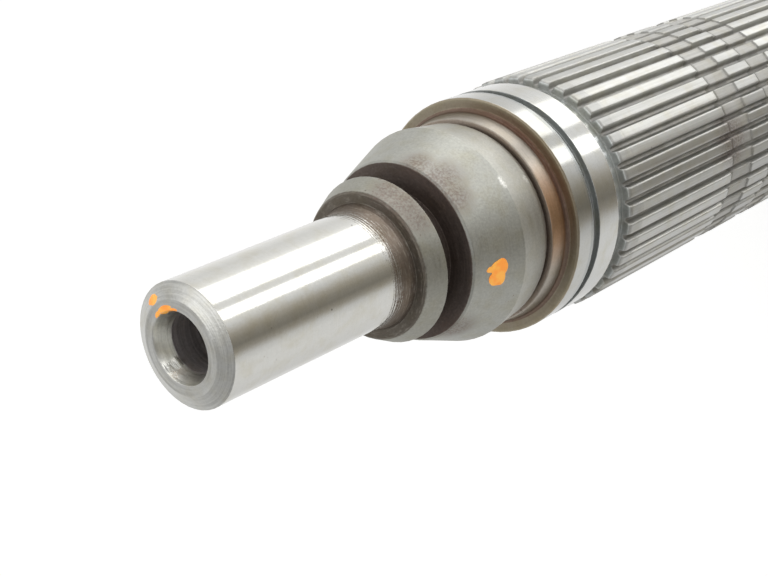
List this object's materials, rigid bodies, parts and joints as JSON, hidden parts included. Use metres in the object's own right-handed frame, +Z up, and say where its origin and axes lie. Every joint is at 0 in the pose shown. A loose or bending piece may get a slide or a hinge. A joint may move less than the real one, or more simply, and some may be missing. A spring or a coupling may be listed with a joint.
{
  "type": "transmission main shaft",
  "caption": "Transmission main shaft: a bored pilot, a collar and cone, a ground bearing seat split by a ring groove, and a long length of fine straight splines.",
  "frame": {"origin": "middle of the flat rear end that the shaft stands on", "axes": "+Z up along the shaft from the rear end to the pilot, +X through the middle of a tooth space"},
  "size_m": [0.0666, 0.0666, 0.3968],
  "materials": {
    "steel": "ground and turned steel with light rust"
  },
  "bodies": {
    "root": {"main_shaft": "steel"}
  },
  "joints": []
}
